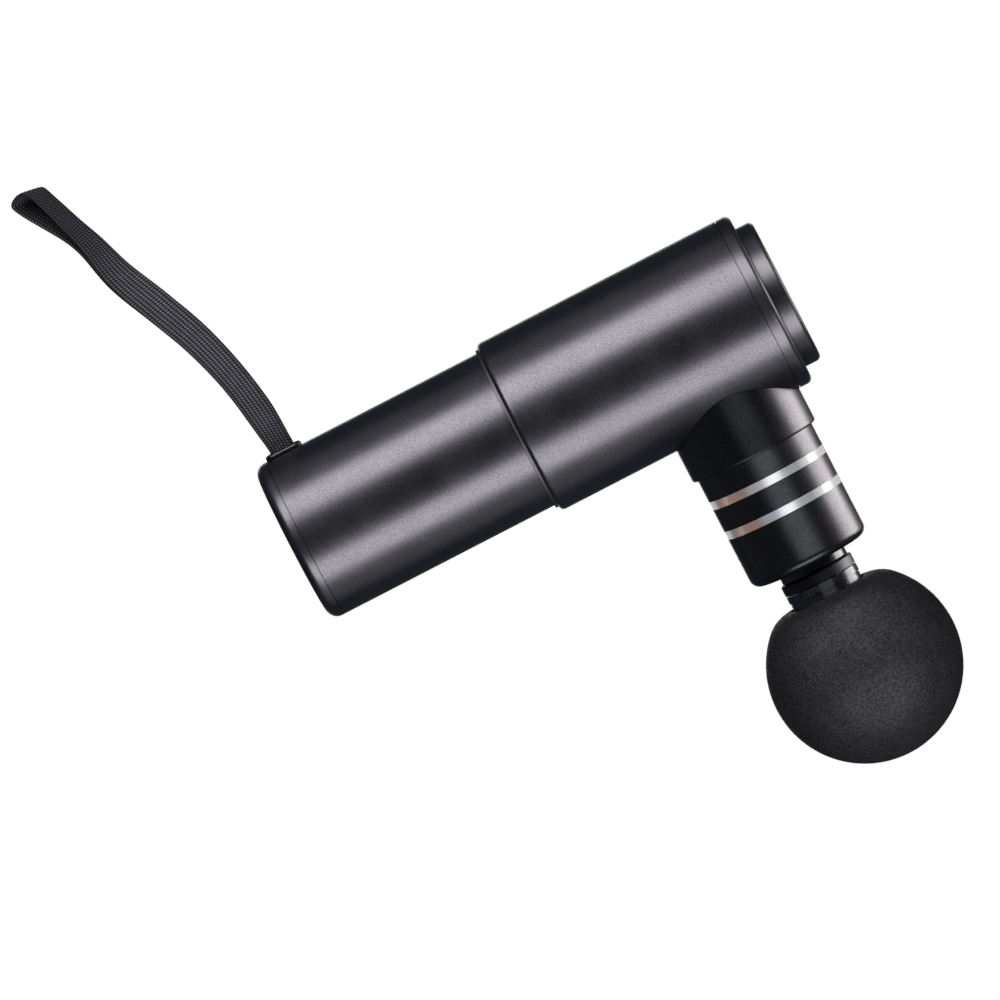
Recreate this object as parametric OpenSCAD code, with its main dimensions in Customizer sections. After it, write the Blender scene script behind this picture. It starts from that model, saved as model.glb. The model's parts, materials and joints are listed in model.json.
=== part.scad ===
// Compact percussion massage gun: straight grip, motor housing, neck and ball head.
// +X runs along the body to the front dial and -Z runs down the neck to the ball.
// The origin is the centre of the flat rear face. All sizes are in millimetres.

/* [Body] */
// Outer diameter of the grip tube
grip_d = 42.7; // [42.5:0.1:42.8]
// Wall thickness of the grip tube
grip_wall = 1.5; // [1.3:0.1:1.5]
// Outer diameter of the motor housing and of the front ring
housing_d = 46.7; // [46.4:0.1:47.5]
// Distance from the rear face to the step where the housing starts
step_x = 63.5; // [62:0.5:65]
// Distance from the rear face to the seam of the front ring
ring_seam_x = 130.8; // [130.8:0.1:131]
// Distance from the rear face to the front of the ring
ring_front_x = 134.5; // [134.4:0.1:134.6]
// Thickness of the rear cap that shows
rear_cap_t = 3.7; // [3.5:0.1:3.8]
// Fillet on the edge of the rear face
rear_fillet = 3.0; // [2:0.5:3]
// Width of the open line at each seam
seam_gap = 0.16; // [0.1:0.02:0.2]
// Depth of the open line at each seam
seam_depth = 0.5; // [0.4:0.1:0.7]

/* [Dial] */
// Diameter of the front dial
dial_d = 38.65; // [38.3:0.05:38.7]
// Distance from the rear face to the front of the dial
dial_front_x = 138.95; // [138.5:0.05:140]
// Depth of the dish in the face of the dial
dial_dish = 0.4; // [0.2:0.1:0.6]
// How far the dial presses in
dial_travel = 0.8; // [0.4:0.1:0.8]

/* [Neck] */
// Distance from the rear face to the axis of the neck
neck_x = 113.25; // [113:0.05:113.3]
// Diameter of the saddle collar under the housing
collar_d = 34.4; // [34.1:0.1:34.6]
// Height of the collar's lower edge
collar_z = -32.3; // [-33:0.1:-32]
// Diameter of the head barrel
barrel_d = 31.9; // [31.6:0.1:32]
// Height of the barrel's lower face
barrel_z = -63.1; // [-63.3:0.1:-63]
// Height of the upper edge of the first bright trim ring
trim_first_z = -38.3; // [-39:0.1:-38]
// Distance from one trim ring to the next
trim_pitch = 8.35; // [7:0.05:9]
// Width of a trim ring
trim_w = 2.25; // [1.8:0.05:2.5]

/* [Percussion drive] */
// Distance from the motor axis to the crank pin, which is half of the stroke
crank_throw = 3.5; // [3:0.1:3.5]
// Distance between the two eyes of the connecting rod
rod_length = 28; // [27.8:0.1:28.2]
// Thickness of the connecting rod
rod_t = 6; // [5.6:0.1:6]
// Diameter of the plunger
plunger_d = 18; // [17.9:0.1:18]
// Height of the plunger's lower face when the plunger is drawn in
plunger_z = -65.6; // [-65.7:0.1:-65.5]
// Radial running clearance of every shaft and sleeve
running_gap = 0.03; // [0.02:0.01:0.05]

/* [Ball head] */
// Diameter of the foam ball
ball_d = 49.5; // [48:0.1:50]
// Height of the ball's centre
ball_z = -92.6; // [-93:0.1:-92]
// Height of the flat on top of the ball
ball_top_z = -72.4; // [-72.5:0.1:-72.3]
// Diameter of the stem that plugs into the plunger
stem_d = 12.9; // [12.5:0.1:12.9]

/* [Strap] */
// Width of the wrist strap webbing
strap_w = 8.2; // [7.5:0.1:8.5]
// Thickness of the wrist strap webbing
strap_t = 1; // [0.8:0.1:1]
// Distance from the rear face to the strap's outlet
strap_x = 8.8; // [8.8:0.1:9]
// Height at which the strap leaves its grommet and bends
strap_pivot_z = 23.6; // [23.6:0.1:24]

/* [Battery] */
// Diameter of one battery cell
cell_d = 18.4; // [18:0.1:18.4]
// Length of one battery cell
cell_l = 65; // [64:0.5:65]

/* [Hidden] */
$fn = 96;
slack = 0.05;
grip_r = grip_d / 2;
housing_r = housing_d / 2;
housing_bore_r = grip_r + 0.2;
inner_r = housing_bore_r - 0.1;
trim_tops = [trim_first_z, trim_first_z - trim_pitch];
grip_bore_r = grip_r - grip_wall;
grip_end_x = 70;

cap_bore_r = 17.6;
cap_plate_t = 2.4;
cap_spigot_x = 8;
seam_lap = 1;
port_z = -7;
light_y = 9;
light_r = 0.9;
charge_board_x = 8.2;
board_t = 1.2;

cell_x = 11;
cell_y = cell_d / 2 + 0.2;
cell_end_x = cell_x + cell_l;

grommet_l = 9.8;
grommet_w = 5.2;
grommet_top_z = 22.65;
slot_l = 7.8;
slot_w = 3.2;
anchor_z = 15.2;
anchor_r = 1;

board_x = 77.2;
board_r = 21.1;
parts_x = board_x + 1.6;

bell_x = 82.4;
bell_r = 18.6;
bell_end_x = 95.4;
base_x = 96.2;
base_r = 17;
plate_x = 98.05;
plate_t = 3.35;
chamber_x = plate_x + plate_t;
chamber_r = 14.8;
chamber_end_x = 118.5;
cover_r = 17.3;
cover_t = 1.6;
frame_end_x = 126.3;
shaft_r = 2.5;
bearing_r = 5.5;
bearing_w = 4;
stator_r = 14.8;
stator_x = 86.5;
stator_l = 6.5;
teeth = 9;
poles = 12;
screw_ring_r = 12;
cover_ring_r = 16.05;

crank_x = 102.4;
crank_t = 5.5;
pin_r = 2;
pin_gap = 0.3;
rod_x = neck_x - rod_t / 2;
wrist_z = crank_throw - rod_length;
wrist_r = 2.5;

plunger_r = plunger_d / 2;
plunger_top_z = -19;
clevis_w = rod_t + 0.6;
socket_top_z = -45.5;
socket_r = stem_d / 2 + running_gap;
sleeve_r = 10.4;
sleeve_top_z = -18.6;
sleeve_end_z = -58.2;
neck_top_z = -17.2;
neck_bore_r = sleeve_r + slack;
neck_top_r = 12;
neck_low_r = 12.8;
neck_shoulder_z = -24;
neck_end_z = -61.2;
mouth_r = plunger_r + 0.6;

washer_top_z = plunger_z - slack;
washer_end_z = -68.3;
stem_top_z = -47.5;
stem_r = stem_d / 2;
core_r = 5;
ring_wire = 0.9;
stem_ring_zs = [-52, -58];

dial_r = dial_d / 2;
dial_back_x = ring_front_x - 0.3;
recess_x = dial_back_x - dial_travel - 0.1;
ring_bore_r = 17.2;
carrier_x = 128;
carrier_t = 1.6;
dial_board_x = 122.6;
dial_board_r = 16.5;
encoder_x = carrier_x + carrier_t;
encoder_t = 3.4;
knob_shaft_r = 3;
knob_shaft_end_x = 136.4;

// ---- helpers ----

// Puts a flat drawing in the Y-Z plane, so that it is extruded along +X from x.
module facing_x(x) {
    translate([x, 0, 0]) rotate([90, 0, 90]) children();
}

// A solid round bar along X from x0 to x1.
module bar_x(x0, x1, r) {
    facing_x(x0) cylinder(r = r, h = x1 - x0);
}

// A tube along X from x0 to x1.
module tube_x(x0, x1, r_out, r_in) {
    facing_x(x0) linear_extrude(x1 - x0) difference() {
        circle(r_out);
        circle(r_in);
    }
}

// A solid round bar on the neck axis between two heights.
module neck_bar(z0, z1, r) {
    translate([neck_x, 0, z0]) cylinder(r = r, h = z1 - z0);
}

// A tube on the neck axis between two heights.
module neck_ring(z0, z1, r_out, r_in) {
    translate([neck_x, 0, z0]) linear_extrude(z1 - z0) difference() {
        circle(r_out);
        circle(r_in);
    }
}

// A turned disc of height h with a fillet round its upper edge.
module filleted_disc(r, h, fillet) {
    rotate_extrude() union() {
        square([r - fillet, h]);
        square([r, h - fillet]);
        translate([r - fillet, h - fillet]) intersection() {
            circle(fillet);
            square(fillet);
        }
    }
}

// The same disc with its filleted edge towards -Z.
module filleted_disc_down(r, h, fillet) {
    mirror([0, 0, 1]) filleted_disc(r, h, fillet);
}

// An oval with straight sides, long along the first axis.
module oval(length, width) {
    square([length - width, width], center = true);
    for (side = [-1, 1]) translate([side * (length - width) / 2, 0]) circle(width / 2);
}

// A round wire that runs through a list of points, with round corners.
module wire(points, r) {
    for (i = [0 : len(points) - 2]) {
        run = points[i + 1] - points[i];
        span = norm(run);
        turn = atan2(run.y, run.x);
        lean = acos(run.z / span);
        translate(points[i]) rotate([0, lean, turn]) cylinder(r = r, h = span);
        translate(points[i]) sphere(r);
    }
}

// Points of an arc from angle a0 to angle a1.
function arc(centre, r, a0, a1, n) =
    [for (i = [0 : n]) centre + r * [cos(a0 + (a1 - a0) * i / n), sin(a0 + (a1 - a0) * i / n)]];

// A ball bearing along X: two rings and a row of balls.
module bearing(x, r_out, r_in, width, balls) {
    ring_t = (r_out - r_in) * 0.26;
    pitch_r = (r_out + r_in) / 2;
    ball_r = (r_out - r_in) / 2 - ring_t - 0.02;
    tube_x(x, x + width, r_out, r_out - ring_t);
    tube_x(x, x + width, r_in + ring_t, r_in);
    for (i = [0 : balls - 1]) {
        angle = 360 * i / balls;
        translate([x + width / 2, pitch_r * cos(angle), pitch_r * sin(angle)]) sphere(ball_r);
    }
}

// Places a child at equal steps round the X axis.
module round_x(count, r, start = 0) {
    for (i = [0 : count - 1]) {
        angle = start + 360 * i / count;
        translate([0, r * cos(angle), r * sin(angle)]) children();
    }
}

// ---- rear end ----

module port_outline(grow) {
    oval(8.94 + grow, 3.16 + grow);
}

module rear_cap() {
    color("#26272b") difference() {
        union() {
            translate([rear_cap_t - seam_gap / 2, 0, 0]) rotate([0, 90, 0])
                filleted_disc_down(grip_r, rear_cap_t - seam_gap / 2, rear_fillet);
            bar_x(cap_plate_t, cap_spigot_x, grip_bore_r - slack);
            bar_x(cap_plate_t, rear_cap_t + seam_lap - slack, grip_r - seam_depth - slack);
        }
        bar_x(cap_plate_t, cap_spigot_x + 1, cap_bore_r);
        facing_x(-1) translate([0, port_z]) linear_extrude(cap_plate_t + 2) port_outline(0.3);
        translate([0, light_y, port_z]) bar_x(-1, cap_plate_t + 1, light_r + slack);
        translate([rear_cap_t, -4, 12]) cube([cap_spigot_x, 8, 10]);
    }
}

module usb_socket() {
    color("silver") facing_x(0.6) translate([0, port_z]) {
        linear_extrude(charge_board_x - 0.65) difference() {
            port_outline(0);
            port_outline(-0.6);
        }
    }
}

module usb_tongue() {
    color("#1b1b1d") facing_x(1.4) translate([0, port_z]) {
        translate([0, 0, 5.4]) linear_extrude(1.3) port_outline(-0.7);
        linear_extrude(5.6) square([6.7, 0.7], center = true);
    }
}

module charge_light() {
    color("white") translate([0, light_y, port_z]) bar_x(0.1, charge_board_x - slack, light_r);
}

module charge_board() {
    chip_t = 1.1;
    color("#1e5b36") translate([charge_board_x, -12, -12.5]) cube([board_t, 24, 18]);
    color("#1b1b1d") translate([charge_board_x - chip_t, -9.5, -2]) cube([chip_t, 5, 5]);
    color("#8a8d90") translate([charge_board_x - 2, 2, -1]) cube([2, 5, 5]);
}

// ---- grip ----

module grip_tube() {
    color("#242529") difference() {
        tube_x(rear_cap_t + seam_gap / 2, grip_end_x, grip_r, grip_bore_r);
        bar_x(rear_cap_t, rear_cap_t + seam_lap, grip_r - seam_depth);
        translate([strap_x, 0, grip_r - 4]) linear_extrude(8) oval(grommet_l - 0.4, grommet_w - 0.4);
    }
}

module battery_cells() {
    rim = 0.7;
    color("#2f6fae") for (side = [-1, 1]) translate([0, side * cell_y, 0]) {
        bar_x(cell_x + rim, cell_end_x - rim, cell_d / 2);
        bar_x(cell_x, cell_end_x, cell_d / 2 - rim);
    }
}

module battery_holder() {
    holder_r = grip_bore_r - 0.2;
    web_h = 6;
    block_h = 11.5;
    block_l = 5;
    x0 = cell_x + 1;
    x1 = cell_end_x - 1;
    color("#3a3c40") difference() {
        intersection() {
            bar_x(x0, x1, holder_r);
            union() {
                translate([x0, -holder_r, -web_h]) cube([x1 - x0, 2 * holder_r, 2 * web_h]);
                for (x = [x0, x1 - block_l])
                    translate([x, -holder_r, -block_h]) cube([block_l, 2 * holder_r, 2 * block_h]);
            }
        }
        for (side = [-1, 1]) translate([0, side * cell_y, 0])
            bar_x(x0 - 1, x1 + 1, cell_d / 2 + slack);
    }
}

module nickel_strips() {
    strip_t = 0.25;
    color("#c9ccd0") {
        translate([cell_x - slack - strip_t, -14, -3.5]) cube([strip_t, 28, 7]);
        for (side = [-1, 1])
            translate([cell_end_x + slack, side * cell_y - 3.5, -3.5]) cube([strip_t, 7, 7]);
    }
}

// Each lead runs from a tab into its own hole in the board's solder pad row.
module battery_leads() {
    lead_r = 0.35;
    lead_x = cell_end_x + 2 * lead_r;
    pad_z = 12.5;
    color("#b3261e") for (side = [-1, 1])
        wire([[lead_x, side * cell_y, 1], [lead_x, side * cell_y, pad_z],
              [board_x - slack, side * cell_y, pad_z]], lead_r);
}

// ---- wrist strap ----

module strap_grommet() {
    bezel_t = 1.7;
    edge = 0.8;
    plug_z = 17.4;
    leg_t = 1.1;
    leg_z = 13.4;
    color("#17181a") difference() {
        union() {
            difference() {
                hull() for (side = [-1, 1])
                    translate([strap_x + side * (grommet_l - grommet_w) / 2, 0,
                               grommet_top_z - bezel_t])
                        filleted_disc(grommet_w / 2, bezel_t, edge, $fn = 40);
                bar_x(0, 20, grip_r + 0.02);
            }
            translate([strap_x, 0, plug_z]) linear_extrude(grommet_top_z - edge - plug_z)
                oval(grommet_l - 0.5, grommet_w - 0.5);
            for (side = [-1, 1])
                translate([strap_x + side * (slot_l / 2 + leg_t / 2 - 0.1) - leg_t / 2,
                           -slot_w / 2, leg_z])
                    cube([leg_t, slot_w, plug_z - leg_z + 0.4]);
        }
        translate([strap_x, 0, 10]) linear_extrude(20) oval(slot_l, slot_w);
        translate([0, 0, anchor_z]) bar_x(strap_x - 8, strap_x + 8, anchor_r + running_gap);
    }
}

module strap_anchor() {
    color("silver") translate([0, 0, anchor_z])
        bar_x(strap_x - 4.95, strap_x + 4.95, anchor_r);
}

// The sewn end of the webbing, wrapped round the anchor pin.
module strap_tail() {
    eye_r = anchor_r + 0.45;
    tail_top_z = 22.2;
    color("#101113") difference() {
        translate([strap_x - strap_neck_w / 2, 0, anchor_z]) union() {
            rotate([90, 0, 90]) cylinder(r = eye_r, h = strap_neck_w);
            translate([0, -strap_half_t, 0])
                cube([strap_neck_w, 2 * strap_half_t, tail_top_z - anchor_z]);
        }
        translate([0, 0, anchor_z]) bar_x(strap_x - 8, strap_x + 8, anchor_r + slack);
    }
}

// The strap's middle line, as (x, z) points from the grommet to the tip of the loop.
strap_spine = [[strap_x, strap_pivot_z], [7.7, 35], [5.6, 46], [2.2, 57.3], [-2.5, 68.5],
               [-7.4, 79.5], [-10.5, 90], [-14.2, 98.6], [-19.2, 108.6]];
strap_length = 92;
strap_stations = 80;
strap_bulge = 9.2;
strap_twist = 53;
strap_skew = 37;
strap_slip = 0.48;
strap_lean = 1.76;
strap_neck_w = 6.4;
layer_gap = 0.1;
strap_half_t = strap_t + layer_gap;

// A smooth curve through the points of a list, for t from 0 to 1.
function spline(p, t) =
    let (n = len(p) - 1, s = min(t * n, n - 0.0001), i = floor(s), f = s - i,
         a = p[max(i - 1, 0)], b = p[i], c = p[i + 1], d = p[min(i + 2, n)])
    b + f * (c - a) / 2 + f * f * (a - 2.5 * b + 2 * c - d / 2)
      + f * f * f * (1.5 * b - a / 2 - 1.5 * c + d / 2);

function blend(t, a, b) = let (s = min(max((t - a) / (b - a), 0), 1)) s * s * (3 - 2 * s);

// The two layers lie together up to a round opening at the tip of the loop.
function strap_reach(angle) = (1 - cos(angle)) / 2;
function strap_gape(angle) = sin(angle) * pow(sin(angle / 2), 27);
function strap_open(angle) =
    strap_bulge * strap_gape(angle)
    + (strap_t / 2 + layer_gap) * (angle < 180 ? 1 : -1) * min(1, abs(180 - angle) / 14);

// The webbing is pinched where it leaves the grommet.
function strap_width(t) = strap_neck_w + (strap_w - strap_neck_w) * blend(t, 0.1, 0.5);

// The fold at the tip leans, so one edge of the webbing (side -1) reaches further than the other.
function strap_slide(side, t) = -(strap_slip + strap_lean * side) * blend(t, 0.92, 1);

// One cross-section of the webbing: four corners round the middle line.
function strap_section(angle) =
    let (t = strap_reach(angle),
         p = spline(strap_spine, t),
         ahead = spline(strap_spine, min(t + 0.01, 1)) - spline(strap_spine, max(t - 0.01, 0)),
         along = ahead / norm(ahead),
         across = [along.y, -along.x],
         twist = strap_twist * blend(t, 0.41, 0.84) + strap_skew * strap_gape(angle),
         wide = [across.x * cos(twist), sin(twist), across.y * cos(twist)],
         out = [across.x * sin(twist), -cos(twist), across.y * sin(twist)],
         rise = (strap_reach(angle + 1) - strap_reach(angle - 1)) * strap_length,
         push = strap_open(angle + 1) - strap_open(angle - 1),
         size = max(norm([rise, push]), 0.0001),
         ahead3 = [along.x, 0, along.y],
         facing = (out * rise - ahead3 * push) / size,
         middle = [p.x, 0, p.y] + out * strap_open(angle),
         left = middle - wide * strap_width(t) / 2 + ahead3 * strap_slide(-1, t),
         right = middle + wide * strap_width(t) / 2 + ahead3 * strap_slide(1, t),
         thick = facing * strap_t / 2)
    [left - thick, right - thick, right + thick, left + thick];

module strap() {
    points = [for (i = [0 : strap_stations]) each strap_section(360 * i / strap_stations)];
    sides = [for (i = [0 : strap_stations - 1]) for (k = [0 : 3])
        let (a = 4 * i + k, b = 4 * i + (k + 1) % 4) each [[a, b, b + 4], [a, b + 4, a + 4]]];
    last = 4 * strap_stations;
    ends = [[2, 1, 0], [3, 2, 0], [last, last + 1, last + 2], [last, last + 2, last + 3]];
    color("#101113") union() {
        polyhedron(points, concat(ends, sides));
        translate([0, 0, strap_pivot_z])
            bar_x(strap_x - strap_neck_w / 2 + slack, strap_x + strap_neck_w / 2 - slack,
                  strap_half_t - slack);
    }
}

// ---- joint between grip and housing ----

module seam_ring() {
    color("#0e0f10") tube_x(step_x - 0.65, step_x - 0.05, grip_r + 0.75, grip_r + slack);
}

module joiner_ring() {
    color("#3a3c40") tube_x(grip_end_x + slack, board_x - slack, inner_r, grip_bore_r + 0.1);
}

module motor_housing() {
    color("#242529") difference() {
        union() {
            translate([step_x + 10, 0, 0]) rotate([0, 90, 0])
                filleted_disc_down(housing_r, 10, 1.4);
            bar_x(step_x + 9, ring_seam_x - seam_gap / 2, housing_r);
        }
        bar_x(step_x - 1, ring_seam_x + 1, housing_bore_r);
        bar_x(ring_seam_x - seam_lap, ring_seam_x + 1, housing_r - seam_depth);
        neck_bar(-housing_d, 0, neck_top_r + 0.2);
    }
}

// ---- electronics ----

module control_board() {
    color("#1e5b36") difference() {
        bar_x(board_x, parts_x, board_r);
        translate([board_x - 1, -3.5, 19.6]) cube([4, 7, 4]);
    }
}

module board_components() {
    chip = [1.2, 5, 6];
    color("#1b1b1d") {
        for (i = [0 : 5]) rotate([60 * i + 30, 0, 0])
            translate([parts_x, -chip.y / 2, 10]) cube(chip);
        translate([parts_x, -3.5, -3.5]) cube([1, 7, 7]);
        for (i = [0 : 2]) rotate([120 * i, 0, 0])
            translate([0, 0, -16.4]) bar_x(parts_x, parts_x + 2.8, 2.2);
    }
}

// ---- motor ----

module motor_base() {
    post_r = 7;
    post_x = 84.6;
    color("#9a9da2") difference() {
        union() {
            bar_x(base_x, plate_x, base_r);
            bar_x(post_x, base_x + 0.5, post_r);
        }
        bar_x(post_x - 1, plate_x + 1, 3.5);
        bar_x(post_x - 1, post_x + bearing_w, bearing_r);
        bar_x(plate_x - bearing_w, plate_x + 1, bearing_r);
        round_x(4, screw_ring_r, 45) bar_x(base_x - 1, plate_x + 1, 1.5);
    }
}

module motor_bearings() {
    color("#c9ccd0") for (x = [84.6, plate_x - bearing_w])
        bearing(x, bearing_r - 0.02, shaft_r + running_gap, bearing_w, 8);
}

module stator_core() {
    tooth_w = 2.2;
    shoe_t = 1.1;
    shoe_turn = 15;
    color("#6d7076") facing_x(stator_x) linear_extrude(stator_l) union() {
        difference() {
            circle(9);
            circle(7.05);
        }
        for (i = [0 : teeth - 1]) rotate(360 * i / teeth) {
            translate([8.5, -tooth_w / 2]) square([stator_r - 9, tooth_w]);
            intersection() {
                difference() {
                    circle(stator_r);
                    circle(stator_r - shoe_t);
                }
                polygon([[0, 0], [20 * cos(shoe_turn), -20 * sin(shoe_turn)],
                         [20 * cos(shoe_turn), 20 * sin(shoe_turn)]]);
            }
        }
    }
}

module stator_windings() {
    coil_w = 4.6;
    gap_w = 2.3;
    over = 0.9;
    color("#b5651d") for (i = [0 : teeth - 1]) facing_x(stator_x - over) rotate(360 * i / teeth)
        difference() {
            translate([9.4, -coil_w / 2, 0]) cube([3.9, coil_w, stator_l + 2 * over]);
            translate([9, -gap_w / 2, over - slack]) cube([5, gap_w, stator_l + 2 * slack]);
        }
}

module phase_wires() {
    wire_r = 0.3;
    gap_x = (bell_end_x + base_x) / 2;
    color("#c77b30") for (turn = [150, 180, 210]) rotate([turn, 0, 0])
        wire([[gap_x, 0, 15], [gap_x, 0, 20], [parts_x + 0.35, 0, 20]], wire_r);
}

module rotor_bell() {
    color("#55585d") difference() {
        bar_x(bell_x, bell_end_x, bell_r);
        bar_x(bell_x + 1.4, bell_end_x + 1, bell_r - 1.4);
        bar_x(bell_x - 1, bell_x + 2, shaft_r + 0.01);
        round_x(6, 11) bar_x(bell_x - 1, bell_x + 2, 2);
    }
}

module rotor_magnets() {
    turn = 13;
    outer = bell_r - 1.4 - slack;
    color("#a9adb3") facing_x(85.4) linear_extrude(8.8) for (i = [0 : poles - 1])
        rotate(360 * i / poles) intersection() {
            difference() {
                circle(outer);
                circle(stator_r + 0.5);
            }
            polygon([[0, 0], [20 * cos(turn), -20 * sin(turn)], [20 * cos(turn), 20 * sin(turn)]]);
        }
}

module motor_shaft() {
    color("#c9ccd0") bar_x(81.6, crank_x + 3.6, shaft_r);
}

module drive_frame() {
    color("#7c8087") difference() {
        bar_x(plate_x, frame_end_x, inner_r);
        bar_x(plate_x - 1, chamber_x + 1, 6);
        bar_x(chamber_x, chamber_end_x + 1, chamber_r);
        bar_x(chamber_end_x, frame_end_x + 1, cover_r + 0.1);
        neck_bar(-25, neck_top_z, neck_top_r + slack);
        neck_bar(neck_top_z - 1, 0, 10);
        round_x(4, screw_ring_r, 45) bar_x(plate_x - 1, chamber_x + 1, 1.5);
        round_x(4, screw_ring_r, 45) bar_x(chamber_x - 1.7, chamber_x + 1, 2.7);
        round_x(4, cover_ring_r, 45) bar_x(chamber_end_x - 5, chamber_end_x + 1, 0.85);
        translate([plate_x - 1, -4, 19.4]) cube([40, 8, 4]);
        translate([121, -4, 12]) cube([10, 8, 12]);
    }
}

module motor_screws() {
    color("#c9ccd0") round_x(4, screw_ring_r, 45) {
        bar_x(base_x + 0.2, chamber_x - 1.6, 1.45);
        bar_x(chamber_x - 1.65, chamber_x - 0.15, 2.6);
    }
}

// ---- percussion drive ----

module crank_disc() {
    weight_r = 14;
    weight_turn = 62;
    color("#8a8d90") difference() {
        facing_x(crank_x) linear_extrude(crank_t) union() {
            circle(7);
            intersection() {
                circle(weight_r);
                polygon([[0, 0], [-30 * sin(weight_turn), -30 * cos(weight_turn)],
                         [30 * sin(weight_turn), -30 * cos(weight_turn)]]);
            }
        }
        bar_x(crank_x - 1, crank_x + 3.65, shaft_r + 0.01);
        translate([0, 0, crank_throw]) bar_x(crank_x + 3.7, crank_x + crank_t + 1, pin_r + 0.01);
    }
}

// The pin stops short of the rod, so that crank and rod can move on their own.
module crank_pin() {
    color("#c9ccd0") translate([0, 0, crank_throw])
        bar_x(crank_x + 3.75, rod_x - pin_gap, pin_r);
}

module connecting_rod() {
    big_r = 7.3;
    small_r = 5.2;
    shank_x = rod_x + 0.5;
    color("#b9bcc1") difference() {
        union() {
            translate([0, 0, crank_throw]) bar_x(rod_x, rod_x + rod_t, big_r);
            translate([0, 0, wrist_z]) bar_x(rod_x, rod_x + rod_t, small_r);
            facing_x(shank_x) linear_extrude(rod_t - 1)
                polygon([[-4.2, crank_throw - 5], [4.2, crank_throw - 5],
                         [2.8, wrist_z + 3], [-2.8, wrist_z + 3]]);
        }
        translate([0, 0, crank_throw]) bar_x(rod_x - 1, rod_x + rod_t + 1, bearing_r);
        translate([0, 0, wrist_z]) bar_x(rod_x - 1, rod_x + rod_t + 1, wrist_r + 1);
    }
}

module big_end_bearing() {
    color("#c9ccd0") translate([0, 0, crank_throw])
        bearing(rod_x + 0.5, bearing_r - 0.02, pin_r + running_gap, rod_t - 1, 8);
}

module small_end_bush() {
    color("#b08d57") translate([0, 0, wrist_z])
        tube_x(rod_x + 0.1, rod_x + rod_t - 0.1, wrist_r + 0.98, wrist_r + running_gap);
}

module wrist_pin() {
    pin_l = 15.6;
    color("#c9ccd0") translate([0, 0, wrist_z])
        bar_x(neck_x - pin_l / 2, neck_x + pin_l / 2, wrist_r);
}

module chamber_cover() {
    color("#9a9da2") difference() {
        bar_x(chamber_end_x + slack, chamber_end_x + cover_t, cover_r);
        round_x(4, cover_ring_r, 45) bar_x(chamber_end_x - 1, chamber_end_x + 3, 1.05);
    }
}

module cover_screws() {
    color("#c9ccd0") round_x(4, cover_ring_r, 45) {
        bar_x(chamber_end_x - 4, chamber_end_x + cover_t + 0.2, 0.83);
        bar_x(chamber_end_x + cover_t + 0.02, chamber_end_x + cover_t + 1, 1.2);
    }
}

module plunger() {
    clevis_end_z = wrist_z - 6.6;
    color("#15161a") difference() {
        translate([neck_x, 0, plunger_top_z])
            filleted_disc_down(plunger_r, plunger_top_z - plunger_z, 0.5);
        translate([neck_x - clevis_w / 2, -plunger_d, clevis_end_z])
            cube([clevis_w, 2 * plunger_d, -clevis_end_z]);
        translate([0, 0, wrist_z]) bar_x(neck_x - plunger_d, neck_x + plunger_d, wrist_r + 0.01);
        neck_bar(plunger_z - 1, socket_top_z, socket_r);
    }
}

// ---- neck ----

module guide_sleeve() {
    color("#b08d57") neck_ring(sleeve_end_z, sleeve_top_z, sleeve_r, plunger_r + running_gap);
}

module wiper_seal() {
    color("#0e0f10") neck_ring(sleeve_end_z - 2.1, sleeve_end_z - 0.1, sleeve_r,
                               plunger_r + 0.08);
}

module neck_tube() {
    color("#3a3c40") difference() {
        union() {
            neck_bar(neck_shoulder_z - 1, neck_top_z - slack, neck_top_r);
            neck_bar(neck_end_z, neck_shoulder_z, neck_low_r);
        }
        neck_bar(sleeve_end_z - 2.2, neck_top_z + 1, neck_bore_r);
        neck_bar(neck_end_z - 1, neck_top_z, mouth_r);
    }
}

module neck_collar() {
    color("#1c1c1f") difference() {
        translate([neck_x, 0, -12]) filleted_disc_down(collar_d / 2, -12 - collar_z, 0.6);
        neck_bar(collar_z - 1, 0, barrel_d / 2 + slack);
        bar_x(neck_x - collar_d, neck_x + collar_d, housing_r + slack);
    }
}

module head_barrel() {
    barrel_top_z = -23.6;
    barrel_fillet = 2.4;
    color("#1c1c1f") difference() {
        translate([neck_x, 0, barrel_top_z])
            filleted_disc_down(barrel_d / 2, barrel_top_z - barrel_z, barrel_fillet);
        neck_bar(neck_end_z - 0.1, barrel_top_z + 1, neck_low_r + slack);
        neck_bar(barrel_z - 1, barrel_top_z, mouth_r);
        for (z = trim_tops) neck_ring(z - trim_w, z, barrel_d / 2 + 1, barrel_d / 2 - 0.6);
    }
}

module trim_rings() {
    color("#d8d9dc") for (z = trim_tops)
        neck_ring(z - trim_w + 0.03, z - 0.03, barrel_d / 2 + 0.05, barrel_d / 2 - 0.58);
}

// ---- ball head ----

module head_washer() {
    washer_r = 9.75;
    color("#1d1e20") translate([neck_x, 0, washer_end_z]) difference() {
        filleted_disc(washer_r, washer_top_z - washer_end_z, 0.5);
        translate([0, 0, -1]) cylinder(r = stem_r + slack, h = 6);
    }
}

module head_stem() {
    upper_r = 9.75;
    lower_r = 9.55;
    groove_r = 9.25;
    foot_r = 10;
    core_end_z = -97;
    color("#15161a") difference() {
        union() {
            neck_bar(-69, stem_top_z, stem_r);
            neck_bar(-70.5, -68.6, upper_r);
            neck_bar(-70.8, -70.4, groove_r);
            neck_bar(-72.6, -70.8, lower_r);
            neck_bar(-72.9, -72.5, groove_r);
            neck_bar(-73.4, -72.8, foot_r);
            neck_bar(core_end_z, -73, core_r);
        }
        for (z = stem_ring_zs)
            neck_ring(z - ring_wire - 0.15, z + ring_wire + 0.15, stem_r + 1,
                      stem_r - 2 * ring_wire - running_gap);
    }
}

module stem_o_rings() {
    color("#0e0f10") for (z = stem_ring_zs) translate([neck_x, 0, z])
        rotate_extrude() translate([stem_r - ring_wire, 0]) circle(ring_wire, $fn = 32);
}

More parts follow.
